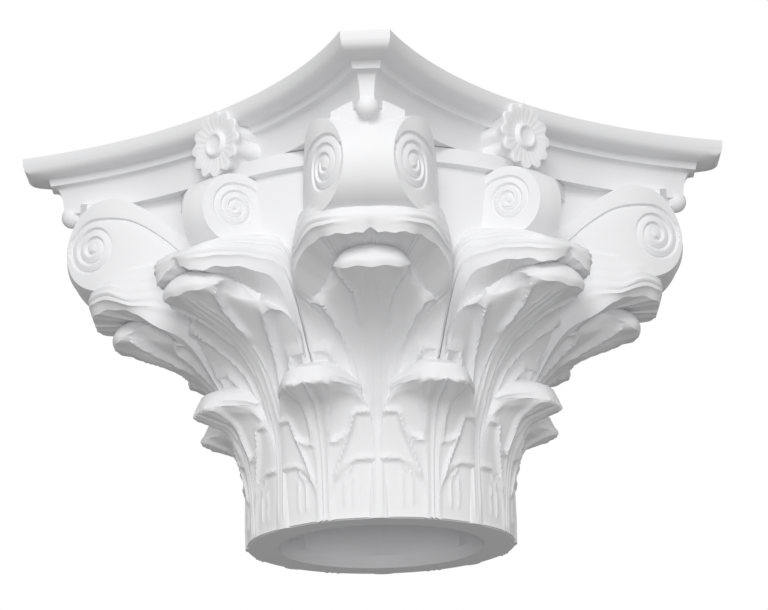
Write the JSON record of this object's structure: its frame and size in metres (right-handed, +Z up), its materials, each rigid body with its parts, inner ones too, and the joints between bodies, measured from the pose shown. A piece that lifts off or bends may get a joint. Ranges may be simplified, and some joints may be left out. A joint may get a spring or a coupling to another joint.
{
  "type": "corinthian capital",
  "caption": "Corinthian column capital with concave-sided abacus, flowers, scrolled volutes, hooded upper leaves and curled lower leaves, cast hollow around an open shaft",
  "frame": {"origin": "centre of the underside, on the column's axis", "axes": "+Z up along the column's axis, X and Y square to the abacus sides, the horns along the diagonals"},
  "size_m": [0.528, 0.528, 0.4],
  "materials": {
    "primed_casting": "white primer, matt with a faint sheen"
  },
  "bodies": {
    "root": {"capital": "primed_casting"}
  },
  "joints": []
}
